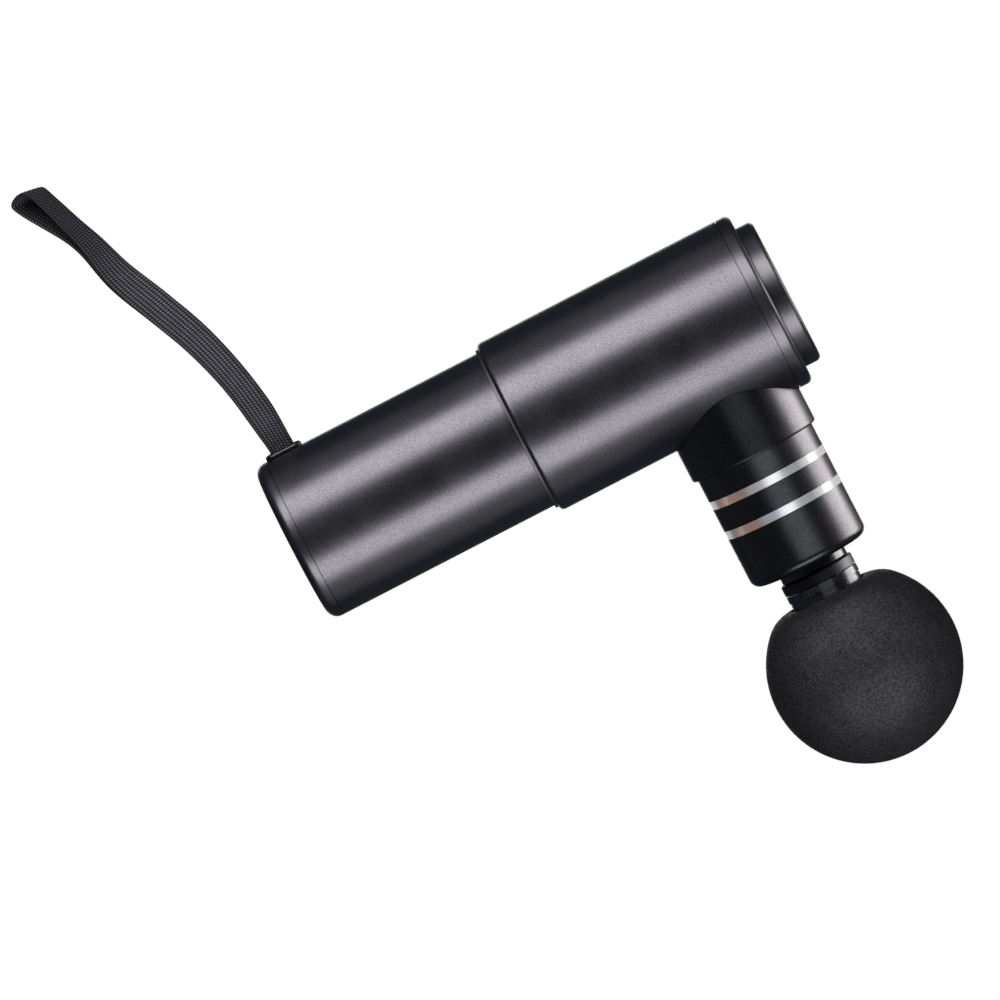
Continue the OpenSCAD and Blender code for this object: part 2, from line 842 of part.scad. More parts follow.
// The ball's shoulder is an arc that meets both the flat top and the sphere.
module foam_ball() {
    r = ball_d / 2;
    flat = ball_top_z - ball_z;
    shoulder_x = 11;
    shoulder_r = (r * r - flat * flat - shoulder_x * shoulder_x) / (2 * (r - flat));
    meet = atan2(flat - shoulder_r, shoulder_x);
    recess_r = 10.1;
    recess_h = 1.05;
    color("#202124") translate([neck_x, 0, ball_z]) difference() {
        rotate_extrude() polygon(concat([[0, -r]], arc([0, 0], r, -84, meet, 30),
            arc([shoulder_x, flat - shoulder_r], shoulder_r, meet + 6, 90, 8), [[0, flat]]));
        translate([0, 0, flat - recess_h]) cylinder(r = recess_r, h = recess_h + 1);
        translate([0, 0, -5]) cylinder(r = core_r + slack, h = r);
    }
}

// ---- front end ----

module front_ring() {
    color("#2a2b2f") difference() {
        union() {
            translate([ring_seam_x + seam_gap / 2, 0, 0]) rotate([0, 90, 0])
                filleted_disc(housing_r, ring_front_x - ring_seam_x - seam_gap / 2, 1.6);
            bar_x(frame_end_x + slack, ring_seam_x + 1, inner_r);
            bar_x(ring_seam_x - seam_lap + slack, ring_seam_x + 1, housing_r - seam_depth - slack);
        }
        bar_x(frame_end_x - 1, ring_front_x + 1, ring_bore_r);
        bar_x(recess_x, ring_front_x + 1, dial_r + 0.18);
    }
}

module dial_board() {
    color("#1e5b36") bar_x(dial_board_x, dial_board_x + board_t, dial_board_r);
}

module dial_cable() {
    tape_t = 0.3;
    tape_w = 6;
    tape_z = 20;
    plug_z = 13;
    turn_x = dial_board_x - 0.9;
    color("#d9822b") translate([0, -tape_w / 2, 0]) {
        translate([parts_x + 0.1, 0, tape_z]) cube([turn_x - parts_x + 0.2, tape_w, tape_t]);
        translate([turn_x, 0, plug_z]) cube([tape_t, tape_w, tape_z - plug_z + tape_t]);
        translate([turn_x, 0, plug_z]) cube([dial_board_x - turn_x - slack, tape_w, 2 * tape_t]);
    }
}

module push_switch() {
    body = 6;
    x = dial_board_x + board_t + 0.02;
    color("#1b1b1d") translate([x, -body / 2, -body / 2]) cube([2.3, body, body]);
    color("#d8d9dc") bar_x(x + 2, 126.5, 1.5);
}

// The floating plate slides in the front ring and carries the encoder.
module dial_carrier() {
    color("#3a3c40") union() {
        bar_x(carrier_x, carrier_x + carrier_t, ring_bore_r - slack);
        bar_x(carrier_x - 0.65, carrier_x + 0.5, 2);
    }
}

module dial_spring() {
    wire_r = 0.3;
    coil_r = 6;
    turns = 4;
    x0 = dial_board_x + board_t + wire_r + 0.02;
    run = carrier_x - wire_r - 0.02 - x0;
    pitch = run / (turns - 1);
    color("#c9ccd0") {
        for (i = [0 : turns - 1]) translate([x0 + pitch * i, 0, 0]) rotate([0, 90, 0])
            rotate_extrude() translate([coil_r, 0]) circle(wire_r, $fn = 16);
        for (i = [0 : turns - 2]) rotate([120 * i, 0, 0]) translate([0, 0, coil_r])
            bar_x(x0 + pitch * i, x0 + pitch * (i + 1), wire_r * 0.8);
    }
}

module encoder() {
    body = 12;
    color("#b9bcc1") difference() {
        union() {
            translate([encoder_x, -body / 2, -body / 2]) cube([encoder_t, body, body]);
            bar_x(encoder_x + encoder_t - 0.5, encoder_x + encoder_t + 0.7, 4.2);
        }
        bar_x(encoder_x + 1, encoder_x + encoder_t + 2, knob_shaft_r + running_gap);
    }
}

module encoder_shaft() {
    color("#d8d9dc") bar_x(encoder_x + 1.1, knob_shaft_end_x, knob_shaft_r);
}

module speed_dial() {
    skirt_r = 16.4;
    skirt_x = encoder_x + 1.2;
    hub_x = encoder_x + encoder_t + 0.9;
    roof_x = 136.8;
    edge = 1.4;
    color("#2a2b2f") difference() {
        union() {
            translate([dial_back_x, 0, 0]) rotate([0, 90, 0])
                filleted_disc(dial_r, dial_front_x - dial_back_x, edge);
            bar_x(skirt_x, dial_back_x + 1, skirt_r);
        }
        difference() {
            bar_x(skirt_x - 1, roof_x, skirt_r - 1.3);
            bar_x(hub_x, roof_x + 1, 5.5);
        }
        bar_x(hub_x - 1, knob_shaft_end_x + 0.05, knob_shaft_r + 0.02);
        bar_x(dial_front_x - dial_dish, dial_front_x + 1, dial_r - edge - 0.6);
    }
}

rear_cap();
usb_socket();
usb_tongue();
charge_light();
charge_board();
grip_tube();
strap_grommet();
strap_anchor();
strap_tail();
strap();
battery_cells();
battery_holder();
nickel_strips();
battery_leads();
seam_ring();
joiner_ring();
control_board();
board_components();
motor_housing();
drive_frame();
motor_base();
motor_bearings();
stator_core();
stator_windings();
phase_wires();
rotor_bell();
rotor_magnets();
motor_shaft();
motor_screws();
crank_disc();
crank_pin();
connecting_rod();
big_end_bearing();
small_end_bush();
wrist_pin();
chamber_cover();
cover_screws();
plunger();
guide_sleeve();
wiper_seal();
neck_tube();
neck_collar();
head_barrel();
trim_rings();
head_washer();
head_stem();
stem_o_rings();
foam_ball();
front_ring();
dial_board();
dial_cable();
push_switch();
dial_carrier();
dial_spring();
encoder();
encoder_shaft();
speed_dial();
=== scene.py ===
import json
import math

import bpy
import numpy as np
from mathutils import Matrix, Vector, noise


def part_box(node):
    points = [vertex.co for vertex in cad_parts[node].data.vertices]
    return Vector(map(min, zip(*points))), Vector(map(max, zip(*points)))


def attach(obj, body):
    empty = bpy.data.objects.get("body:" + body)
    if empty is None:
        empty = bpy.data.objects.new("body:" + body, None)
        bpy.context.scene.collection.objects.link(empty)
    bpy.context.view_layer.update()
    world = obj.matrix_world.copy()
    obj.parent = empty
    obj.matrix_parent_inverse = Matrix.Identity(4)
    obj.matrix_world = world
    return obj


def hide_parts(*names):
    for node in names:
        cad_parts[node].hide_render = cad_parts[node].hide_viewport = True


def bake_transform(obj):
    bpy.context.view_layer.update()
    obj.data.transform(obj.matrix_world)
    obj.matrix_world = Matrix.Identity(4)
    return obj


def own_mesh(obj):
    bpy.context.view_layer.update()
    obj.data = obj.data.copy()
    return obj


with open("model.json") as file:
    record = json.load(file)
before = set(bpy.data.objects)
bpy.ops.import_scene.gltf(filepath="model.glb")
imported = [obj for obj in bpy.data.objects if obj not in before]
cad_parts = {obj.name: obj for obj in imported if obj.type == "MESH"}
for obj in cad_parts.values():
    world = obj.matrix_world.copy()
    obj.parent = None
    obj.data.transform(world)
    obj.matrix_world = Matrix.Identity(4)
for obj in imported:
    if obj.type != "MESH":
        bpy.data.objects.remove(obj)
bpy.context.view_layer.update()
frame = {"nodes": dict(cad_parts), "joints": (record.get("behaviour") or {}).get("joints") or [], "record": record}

MM = 0.001
NODES = frame["nodes"]
JOINTS = {joint["name"]: joint for joint in frame["joints"]}
SLOT_OF = {part["node"]: part["material_slot"] for part in frame["record"]["subparts"]}

# ---------------------------------------------------------------- materials


class Graph:
    """A material's node graph, with short calls for the nodes that this script needs."""

    def __init__(self, name):
        self.material = bpy.data.materials.new(name)
        self.material.use_nodes = True
        self.nodes = self.material.node_tree.nodes
        self.links = self.material.node_tree.links
        self.surface = self.nodes["Principled BSDF"]
        self.place = self.nodes.new("ShaderNodeTexCoord").outputs["Object"]

    def link(self, value, socket):
        if hasattr(value, "links"):
            self.links.new(value, socket)
        else:
            socket.default_value = value

    def set(self, **inputs):
        for name, value in inputs.items():
            self.link(value, self.surface.inputs[name.replace("_", " ")])

    def noise(self, size, detail=2.0, rough=0.5, place=None):
        """Noise with features about size metres across, from 0 to 1."""
        node = self.nodes.new("ShaderNodeTexNoise")
        self.link(place or self.place, node.inputs["Vector"])
        node.inputs["Scale"].default_value = 1.0 / size
        node.inputs["Detail"].default_value = detail
        node.inputs["Roughness"].default_value = rough
        return node.outputs["Fac"]

    def edges(self, size):
        """Distance to the edges between cells about size metres across."""
        node = self.nodes.new("ShaderNodeTexVoronoi")
        node.feature = "DISTANCE_TO_EDGE"
        self.link(self.place, node.inputs["Vector"])
        node.inputs["Scale"].default_value = 1.0 / size
        return node.outputs["Distance"]

    def stretch(self, x, y, z):
        """The object's coordinates, scaled along each axis."""
        node = self.nodes.new("ShaderNodeMapping")
        self.link(self.place, node.inputs["Vector"])
        node.inputs["Scale"].default_value = (x, y, z)
        return node.outputs["Vector"]

    def attribute(self, name):
        """A number that the mesh holds for each of its points."""
        node = self.nodes.new("ShaderNodeAttribute")
        node.attribute_name = name
        return node.outputs["Fac"]

    def span(self, value, low, high, from_low=0.0, from_high=1.0):
        node = self.nodes.new("ShaderNodeMapRange")
        self.link(value, node.inputs["Value"])
        node.inputs["From Min"].default_value = from_low
        node.inputs["From Max"].default_value = from_high
        node.inputs["To Min"].default_value = low
        node.inputs["To Max"].default_value = high
        return node.outputs["Result"]

    def painted_gap_shade(self, reach):
        """Painted shade in gaps: from 0 in gaps narrower than reach metres to 1 on open surfaces, read from
        ambient occlusion.
        """
        node = self.nodes.new("ShaderNodeAmbientOcclusion")
        node.inputs["Distance"].default_value = reach
        return self.span(node.outputs["AO"], 0.0, 1.0, 0.3, 0.75)

    def math(self, operation, a, b=0.0):
        node = self.nodes.new("ShaderNodeMath")
        node.operation = operation
        self.link(a, node.inputs[0])
        self.link(b, node.inputs[1])
        return node.outputs["Value"]

    def mix(self, factor, a, b):
        node = self.nodes.new("ShaderNodeMix")
        node.data_type = "RGBA"
        self.link(factor, node.inputs["Factor"])
        self.link((*a, 1.0) if isinstance(a, tuple) else a, node.inputs["A"])
        self.link((*b, 1.0) if isinstance(b, tuple) else b, node.inputs["B"])
        return node.outputs["Result"]

    def bump(self, height, depth):
        """A bump whose height of 0 to 1 is depth metres."""
        node = self.nodes.new("ShaderNodeBump")
        self.link(height, node.inputs["Height"])
        node.inputs["Distance"].default_value = depth
        node.inputs["Strength"].default_value = 1.0
        return node.outputs["Normal"]


def shade(colour, factor):
    """The colour made darker or lighter by a factor."""
    return tuple(channel * factor for channel in colour)


# Noise stays mostly between these values, so spans start and end at one of these pairs.
MOST = (0.3, 0.7)
MIDDLE = (0.35, 0.65)
GRAIN_DETAIL = dict(detail=3.0, rough=0.6)


def anodised(name, colour, rough, grain, depth, speckle, level=0.5):
    """Black anodised aluminium: a fine blasted grain, faint clouds, a light and dark speckle, and painted shade
    that dims the shine in seams.
    """
    g = Graph(name)
    fine = g.noise(grain * MM, **GRAIN_DETAIL)
    cloud = g.noise(9 * MM)
    g.set(Base_Color=g.mix(g.span(cloud, 0.0, 1.0, *MIDDLE), shade(colour, 0.85), shade(colour, 1.15)))
    shine = g.span(fine, level * (1 - speckle), level * (1 + speckle), *MOST)
    # Painted shade: the speckled shine is dimmed in seams and gaps narrower than 0.8 mm.
    g.set(Specular_IOR_Level=g.math("MULTIPLY", shine, g.painted_gap_shade(0.8 * MM)))
    g.set(Roughness=g.span(cloud, rough - 0.02, rough + 0.02, *MOST))
    g.set(Normal=g.bump(fine, depth * MM))
    return g.material


def polished(name, colour, rough):
    """Polished metal with faint turning lines round the Z axis."""
    g = Graph(name)
    lines = g.noise(0.35 * MM, place=g.stretch(0.05, 0.05, 1.0))
    g.set(Base_Color=g.mix(g.noise(4 * MM), shade(colour, 0.94), colour))
    g.set(Metallic=0.88, Roughness=g.span(lines, rough * 0.9, rough * 1.1))
    return g.material


def moulded(name, colour, rough, grain, depth, coat=0.0, level=0.5):
    """Moulded plastic or rubber: a fine spark-eroded texture and slight unevenness."""
    g = Graph(name)
    fine = g.noise(grain * MM, **GRAIN_DETAIL)
    cloud = g.noise(6 * MM)
    g.set(Base_Color=g.mix(g.span(cloud, 0.0, 1.0, 0.2, 0.8), shade(colour, 0.8), shade(colour, 1.2)))
    g.set(Roughness=g.span(fine, rough - 0.06, rough + 0.08, *MOST))
    g.set(Coat_Weight=coat, Specular_IOR_Level=level)
    g.set(Normal=g.bump(fine, depth * MM))
    return g.material


def foam(name, colour):
    """Skinned closed-cell foam: a fine leathery grain whose crests glint."""
    g = Graph(name)
    grain = g.noise(0.5 * MM, detail=3.0, rough=0.7)
    cloud = g.noise(7 * MM)
    g.set(Base_Color=g.mix(g.span(grain, 0.0, 1.0, *MIDDLE), shade(colour, 0.4), shade(colour, 1.6)))
    crest = g.span(grain, 0.08, 0.26, 0.38, 0.66)
    g.set(Specular_IOR_Level=g.math("MULTIPLY", crest, g.span(cloud, 0.85, 1.15, *MIDDLE)))
    g.set(Roughness=0.62, Normal=g.bump(grain, 0.08 * MM))
    return g.material


def webbing(name, colour):
    """Knitted polyester yarn, with a painted highlight on the stitches' crowns, painted shade in their roots, and
    painted shade dimming the shine where other surfaces are near.
    """
    g = Graph(name)
    fibre = g.noise(0.14 * MM, **GRAIN_DETAIL)
    crown = g.attribute("stitch")
    yarn = g.mix(g.span(fibre, 0.0, 1.0, *MOST), shade(colour, 0.8), shade(colour, 1.2))
    # Painted shade in the stitches' roots and painted highlight on their crowns: the base colour runs from 0.12 of
    # the yarn's colour at the roots to the full yarn at the crowns.
    g.set(Base_Color=g.mix(g.span(crown, 0.0, 1.0, 0.2, 1.0), shade(colour, 0.12), yarn))
    shine = g.span(crown, 0.03, 0.46, 0.3, 0.95)
    shine = g.math("MULTIPLY", shine, g.span(g.noise(3 * MM), 0.8, 1.2, *MOST))
    # Painted shade: the crowns' shine is dimmed where other surfaces lie within 9 mm, as by the grommet.
    g.set(Roughness=0.5, Specular_IOR_Level=g.math("MULTIPLY", shine, g.painted_gap_shade(9 * MM)))
    g.set(Normal=g.bump(fibre, 0.02 * MM))
    return g.material


def brushed(name, colour, rough, grain):
    """Machined metal with fine tool marks."""
    g = Graph(name)
    marks = g.noise(grain * MM, detail=3.0, place=g.stretch(0.2, 1.0, 1.0))
    g.set(Base_Color=g.mix(marks, shade(colour, 0.8), shade(colour, 1.1)))
    g.set(Metallic=1.0, Roughness=g.span(marks, rough - 0.08, rough + 0.1, *MOST))
    g.set(Normal=g.bump(marks, 0.006 * MM))
    return g.material


def lens(name, colour):
    """A clear moulded light guide."""
    g = Graph(name)
    g.set(Base_Color=(*colour, 1.0), Transmission_Weight=0.8, IOR=1.49)
    g.set(Roughness=g.span(g.noise(0.5 * MM), 0.12, 0.25))
    return g.material


def circuit(name, colour):
    """Solder mask over copper tracks."""
    g = Graph(name)
    tracks = g.span(g.edges(1.6 * MM), 1.0, 0.0, 0.04, 0.1)
    g.set(Base_Color=g.mix(tracks, shade(colour, 0.7), shade(colour, 1.8)))
    g.set(Roughness=0.32, Coat_Weight=0.4)
    g.set(Normal=g.bump(tracks, 0.03 * MM))
    return g.material


BODY_BLACK = (0.0008, 0.001, 0.0016)
NECK_BLACK = (0.001, 0.001, 0.0013)
GROMMET_BLACK = (0.0012, 0.0014, 0.002)
GLOSS_BLACK = (0.002, 0.0022, 0.003)
RUBBER_BLACK = (0.0015, 0.0015, 0.002)
FOAM_BLACK = (0.002, 0.002, 0.0024)
YARN_BLACK = (0.028, 0.028, 0.031)
CHIP_BLACK = (0.015, 0.015, 0.016)
PLASTIC_GREY = (0.06, 0.065, 0.07)
BRIGHT = (0.84, 0.84, 0.86)
CLEAR = (0.9, 0.92, 0.95)
STEEL = (0.62, 0.63, 0.65)
ALLOY = (0.5, 0.51, 0.53)
IRON = (0.3, 0.31, 0.33)
NICKEL = (0.55, 0.56, 0.58)
COPPER = (0.7, 0.3, 0.12)
BRONZE = (0.55, 0.38, 0.17)
CELL_BLUE = (0.05, 0.2, 0.5)
BOARD_GREEN = (0.02, 0.16, 0.07)
FILM_AMBER = (0.62, 0.28, 0.05)
WIRE_RED = (0.45, 0.02, 0.02)

# The finish of each of the record's material slots: its function and what that function takes.
FINISHES = {
    "grip_metal": (anodised, dict(colour=BODY_BLACK, rough=0.31, grain=0.3, depth=0.009, speckle=0.4)),
    "cap_metal": (anodised, dict(colour=BODY_BLACK, rough=0.32, grain=0.25, depth=0.004, level=0.52,
                                 speckle=0.2)),
    "neck_metal": (anodised, dict(colour=NECK_BLACK, rough=0.33, grain=0.3, depth=0.008, level=0.6,
                                  speckle=0.45)),
    "bright_trim": (polished, dict(colour=BRIGHT, rough=0.28)),
    "black_plastic": (moulded, dict(colour=GROMMET_BLACK, rough=0.26, grain=0.3, depth=0.003, level=0.24)),
    "gloss_black": (moulded, dict(colour=GLOSS_BLACK, rough=0.24, grain=0.8, depth=0.0005, coat=0.15)),
    "black_rubber": (moulded, dict(colour=RUBBER_BLACK, rough=0.45, grain=0.35, depth=0.008)),
    "foam": (foam, dict(colour=FOAM_BLACK)),
    "webbing": (webbing, dict(colour=YARN_BLACK)),
    "lens": (lens, dict(colour=CLEAR)),
    "steel": (brushed, dict(colour=STEEL, rough=0.28, grain=0.12)),
    "frame_alloy": (brushed, dict(colour=ALLOY, rough=0.45, grain=0.5)),
    "inner_plastic": (moulded, dict(colour=PLASTIC_GREY, rough=0.5, grain=0.4, depth=0.01)),
    "cell_wrap": (moulded, dict(colour=CELL_BLUE, rough=0.25, grain=1.5, depth=0.01, coat=0.3)),
    "board": (circuit, dict(colour=BOARD_GREEN)),
    "chip": (moulded, dict(colour=CHIP_BLACK, rough=0.5, grain=0.15, depth=0.004)),
    "copper": (brushed, dict(colour=COPPER, rough=0.3, grain=0.3)),
    "bronze": (brushed, dict(colour=BRONZE, rough=0.4, grain=0.2)),
    "laminations": (brushed, dict(colour=IRON, rough=0.4, grain=0.35)),
    "magnet": (brushed, dict(colour=NICKEL, rough=0.2, grain=0.3)),
    "film": (moulded, dict(colour=FILM_AMBER, rough=0.3, grain=0.8, depth=0.005, coat=0.2)),
    "red_wire": (moulded, dict(colour=WIRE_RED, rough=0.4, grain=0.4, depth=0.004)),
}


def make_materials():
    """The material of each slot, under the slot's name."""
    return {slot: finish(slot, **values) for slot, (finish, values) in FINISHES.items()}


MATERIALS = make_materials()


def dress_frame():
    """Every CAD node gets the finish of its slot."""
    for name, node in NODES.items():
        node.data.materials.clear()
        node.data.materials.append(MATERIALS[SLOT_OF[name]])


dress_frame()

# ---------------------------------------------------------------- meshes


def add_mesh(name, points, faces, slot):
    """A smooth mesh from arrays of points and quads, with the finish of one material slot."""
    mesh = bpy.data.meshes.new(name)
    mesh.from_pydata(points.tolist(), [], faces.tolist())
    mesh.polygons.foreach_set("use_smooth", [True] * len(mesh.polygons))
    mesh.materials.append(MATERIALS[slot])
    piece = bpy.data.objects.new(name, mesh)
    bpy.context.scene.collection.objects.link(piece)
    return piece


def grid_faces(rows, columns, wrap_rows, wrap_columns):
    """Quads of a grid of points, closed round in either direction."""
    row = np.arange(rows if wrap_rows else rows - 1)[:, None]
    column = np.arange(columns if wrap_columns else columns - 1)[None, :]
    next_row = (row + 1) % rows
    next_column = (column + 1) % columns
    quads = [row * columns + column, row * columns + next_column,
             next_row * columns + next_column, next_row * columns + column]
    return np.stack(quads, -1).reshape(-1, 4)


def smooth(value, low, high):
    """0 below low, 1 above high, and a smooth rise between them."""
    part = np.clip((value - low) / (high - low), 0, 1)
    return part * part * (3 - 2 * part)


def unit(vectors):
    """The vectors, each made 1 long."""
    return vectors / np.linalg.norm(vectors, axis=-1, keepdims=True)


# ---------------------------------------------------------------- wrist strap

PIVOT = np.array(JOINTS["strap_swing"]["pos_m"]) / MM
ANCHOR_LOW, ANCHOR_HIGH = (np.array(corner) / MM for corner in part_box("strap_anchor"))
ANCHOR_R = (ANCHOR_HIGH[2] - ANCHOR_LOW[2]) / 2
ANCHOR_Z = (ANCHOR_HIGH[2] + ANCHOR_LOW[2]) / 2
# The strap's middle line as (x, z) offsets from the grommet, in millimetres, as in the CAD strap.
SPINE = np.array([(0, 0), (-1.1, 11.4), (-3.2, 22.4), (-6.6, 33.7), (-11.3, 44.9), (-16.2, 55.9),
                  (-19.3, 66.4), (-23.0, 75.0), (-28.0, 85.0)])
# The webbing: its width on the loop and in the grommet, its thickness, and half the gap between its layers.
WEB_W = 8.2
WEB_NECK_W = 6.4
WEB_T = 0.72
LAYER_GAP = 0.14
# Places along the loop are shares of its length, from 0 at the grommet to 1 at the tip.
TWIST = math.radians(53)
TWIST_START, TWIST_END = 0.41, 0.84
# The layers part near the tip by BULGE at most, and turn away from each other by SKEW.
SKEW = math.radians(37)
BULGE = 9.2
GAPE_POWER = 27
# The tip slides along the strap by SLIP, and by LEAN more at one edge and less at the other.
SLIP = 0.48
LEAN = 1.76
SLIDE_START = 0.92
# Near the grommet each layer is cupped, so the section is a lens.
CUP = 0.5
CUP_AT_GROMMET = 0.35
CUP_RISE = 0.08
CUP_START, CUP_END = 0.15, 0.55
# The width grows first by NECK_SHARE up to NECK_END, then by the rest.
NECK_SHARE, NECK_END = 0.6, 0.12
WIDE_START, WIDE_END = 0.15, 0.5
# The layers meet at the tip within FOLD of the loop's turn. A higher EDGE_POWER gives squarer edges.
FOLD = math.radians(14)
EDGE_POWER = 5
ANGLE_STEP = 0.5
TANGENT_STEP = 0.01
# Inside the body the layers spread by SPREAD above the anchor pin and pass round it with a small gap.
SPREAD = 4
PIN_GAP = 0.1
TAIL_GAP = 0.3
CUP_DEPTH = 3
TAIL_STEPS = 40
PIN_STEPS = 24
# The knit: ribs across the width, the length of a row, and the steps of the mesh across and along them.
WALES = 8
WALE_STEPS = 6
ROW = 0.69
STATION = 0.13
# The stitches: their height, their slant and unevenness in rows, how far the unevenness turns from row
# to row and from rib to rib, in radians, and the back face's shift in rows.
STITCH = 0.19
SLANT = 0.5
WOBBLE = 0.12
WOBBLE_TURN = (0.8, 2.4)
BACK_PHASE = 0.37
# Powers that sharpen the stitches and flatten the ribs, and the height left between two stitches.
RIDGE_POWER = 1.4
RIB_POWER = 2.6
BETWEEN = 0.25
# The part of a stitch's height that lies below the webbing's face.
SUNK = 0.3


def spline(t):
    """Catmull-Rom curve through the strap's middle line, for an array t from 0 to 1."""
    last = len(SPINE) - 1
    s = np.minimum(t * last, last - 1e-4)
    i = s.astype(int)
    f = (s - i)[:, None]
    a, b = SPINE[np.maximum(i - 1, 0)], SPINE[i]
    c, d = SPINE[i + 1], SPINE[np.minimum(i + 2, last)]
    return (b + f * (c - a) / 2 + f * f * (a - 2.5 * b + 2 * c - d / 2)
            + f * f * f * (1.5 * b - a / 2 - 1.5 * c + d / 2))


def loop_stations():
    """The webbing outside the body: its middle, width direction, width, cup and the slide of the tip."""
    angle = np.radians(np.arange(0.0, 360.01, ANGLE_STEP))
    t = (1 - np.cos(angle)) / 2
    middle = spline(t) + PIVOT[[0, 2]]
    ahead = spline(np.minimum(t + TANGENT_STEP, 1))
    behind = spline(np.maximum(t - TANGENT_STEP, 0))
    along = unit(ahead - behind)
    gape = np.sin(angle) * np.sin(angle / 2) ** GAPE_POWER
    twist = TWIST * smooth(t, TWIST_START, TWIST_END) + SKEW * gape
    across = np.stack([along[:, 1], -along[:, 0]], -1)
    wide = np.stack([across[:, 0] * np.cos(twist), np.sin(twist), across[:, 1] * np.cos(twist)], -1)
    out = np.stack([across[:, 0] * np.sin(twist), -np.cos(twist), across[:, 1] * np.sin(twist)], -1)
    layers = (WEB_T / 2 + LAYER_GAP) * np.clip((math.pi - angle) / FOLD, -1, 1)
    opening = BULGE * gape + layers
    middle = np.stack([middle[:, 0], np.zeros(len(t)), middle[:, 1]], -1) + out * opening[:, None]
    widening = NECK_SHARE * smooth(t, 0, NECK_END) + (1 - NECK_SHARE) * smooth(t, WIDE_START, WIDE_END)
    width = WEB_NECK_W + (WEB_W - WEB_NECK_W) * widening
    rise = CUP_AT_GROMMET + (1 - CUP_AT_GROMMET) * smooth(t, 0, CUP_RISE)
    cup = CUP * rise * (1 - smooth(t, CUP_START, CUP_END))
    slide = np.stack([along[:, 0], np.zeros(len(t)), along[:, 1]], -1)
    slide = slide * smooth(t, SLIDE_START, 1)[:, None]
    return middle, wide, width, cup, slide


def tail_stations():
    """The webbing inside the body, from the back layer down round the anchor pin to the front."""
    eye = ANCHOR_R + PIN_GAP + WEB_T / 2
    apart = WEB_T / 2 + LAYER_GAP
    z = np.linspace(PIVOT[2] - TAIL_GAP, ANCHOR_Z, TAIL_STEPS)
    y = apart + (eye - apart) * smooth(-z, -ANCHOR_Z - SPREAD, -ANCHOR_Z)
    turn = np.radians(np.linspace(0, 180, PIN_STEPS))[1:-1]
    around = np.stack([eye * np.cos(turn), ANCHOR_Z - eye * np.sin(turn)], -1)
    down = np.stack([y, z], -1)
    up = np.stack([-y, z], -1)[::-1]
    path = np.concatenate([down, around, up])
    middle = np.insert(path, 0, PIVOT[0], axis=1)
    wide = np.tile([1.0, 0.0, 0.0], (len(path), 1))
    cup = CUP * CUP_AT_GROMMET * smooth(path[:, 1], PIVOT[2] - CUP_DEPTH, PIVOT[2])
    return middle, wide, np.full(len(path), WEB_NECK_W), cup, np.zeros((len(path), 3))


def even_stations():
    """The whole closed loop of webbing at equal steps along its length."""
    parts = [np.concatenate(pair) for pair in zip(loop_stations(), tail_stations())]
    middle, wide, width, cup, slide = [np.concatenate([part, part[:1]]) for part in parts]
    length = np.concatenate([[0], np.cumsum(np.linalg.norm(np.diff(middle, axis=0), axis=1))])
    rows = int(round(length[-1] / ROW))
    count = rows * int(round(ROW / STATION))
    place = np.linspace(0, length[-1], count, endpoint=False)

    def pick(values):
        return np.interp(place, length, values)

    def pick_points(values):
        return np.stack([pick(values[:, k]) for k in range(3)], -1)

    row = place / length[-1] * rows
    return pick_points(middle), unit(pick_points(wide)), pick(width), pick(cup), pick_points(slide), row


def knit(across, row):
    """Height from 0 to 1 of the knitted surface, at a place across the width and a row number."""
    wale = (across / 2 + 0.5) * WALES
    column = np.clip(np.floor(wale), 0, WALES - 1)
    x = wale - column - 0.5
    wobble = WOBBLE * np.sin(WOBBLE_TURN[0] * row + WOBBLE_TURN[1] * column)
    phase = row + SLANT * x + 0.5 * (column % 2) + wobble
    ridge = (0.5 + 0.5 * np.cos(2 * math.pi * phase)) ** RIDGE_POWER
    rib = 1 - np.abs(2 * x) ** RIB_POWER
    return (BETWEEN + (1 - BETWEEN) * ridge) * rib


def make_strap():
    """One closed loop of knitted webbing, swept with a flat section whose faces carry the stitches."""
    middle, wide, width, cup, slide, row = even_stations()
    along = unit(np.roll(middle, -1, 0) - np.roll(middle, 1, 0))
    out = unit(np.cross(wide, along))
    wide = unit(np.cross(along, out))
    steps = WALES * WALE_STEPS
    across = np.linspace(-1, 1, steps + 1)
    edge = np.sqrt(np.clip(1 - np.abs(across) ** EDGE_POWER, 0, 1))
    shape = np.concatenate([across, across[-2:0:-1]])
    face = np.concatenate([edge, -edge[-2:0:-1]])
    side = np.concatenate([np.ones(steps + 1), -np.ones(steps - 1)])
    fade = np.abs(face) ** 0.5
    stitch = knit(shape[None, :], row[:, None] + np.where(side > 0, 0.0, BACK_PHASE)[None, :])
    lift = (WEB_T / 2) * face[None, :] + STITCH * (stitch - SUNK) * (side * fade)[None, :]
    lift = lift + cup[:, None] * (1 - shape[None, :] ** 2)
    points = (middle[:, None, :] + wide[:, None, :] * (shape[None, :] * width[:, None] / 2)[..., None]
              + out[:, None, :] * lift[..., None]
              - slide[:, None, :] * (SLIP + LEAN * shape)[None, :, None])
    faces = grid_faces(len(middle), len(shape), True, True)
    strap = add_mesh("strap_webbing", points.reshape(-1, 3) * MM, faces, "webbing")
    # The stitch height also drives the webbing's painted highlight and painted shade.
    crown = strap.data.attributes.new("stitch", "FLOAT", "POINT")
    crown.data.foreach_set("value", (stitch * fade[None, :]).astype(np.float32).ravel())
    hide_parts("strap", "strap_tail")
    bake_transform(strap)


make_strap()

# ---------------------------------------------------------------- foam ball

BALL_LOW, BALL_HIGH = (np.array(corner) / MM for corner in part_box("foam_ball"))
BALL_R = (BALL_HIGH[0] - BALL_LOW[0]) / 2
BALL_PLACE = np.array([(BALL_HIGH[0] + BALL_LOW[0]) / 2, 0.0, BALL_LOW[2] + BALL_R])
BALL_FLAT = BALL_HIGH[2] - BALL_PLACE[2]
